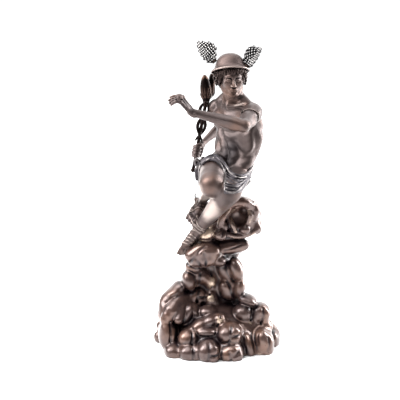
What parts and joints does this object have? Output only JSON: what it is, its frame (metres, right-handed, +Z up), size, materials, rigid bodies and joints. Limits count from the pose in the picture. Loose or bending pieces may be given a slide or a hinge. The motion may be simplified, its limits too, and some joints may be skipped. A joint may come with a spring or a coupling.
{
  "type": "mercury statuette",
  "caption": "Bronze-finished statuette of Mercury with winged hat, winged sandals and herald's staff, seated on a rising column of billowing cloud.",
  "frame": {"origin": "middle of the flat underside of the cloud plinth", "axes": "+Z up, -Y towards the front, +X towards the figure's left"},
  "size_m": [0.1207, 0.1293, 0.2865],
  "materials": {
    "cloud_bronze": "cold-cast bronze, glossy brown patina rubbed to gold-brown on the high spots",
    "figure_bronze": "cold-cast bronze, satin brown patina with paler rubbed skin",
    "pewter_grey": "silver-grey pewter tone over bronze, dark wash in the hollows",
    "staff_bronze": "cold-cast bronze, dark brown patina with gold-brown edges"
  },
  "bodies": {
    "root": {"cloud_plinth": "cloud_bronze", "mercury_figure": "figure_bronze", "helmet_wing_right": "pewter_grey", "helmet_wing_left": "pewter_grey", "caduceus": "staff_bronze"}
  },
  "joints": []
}
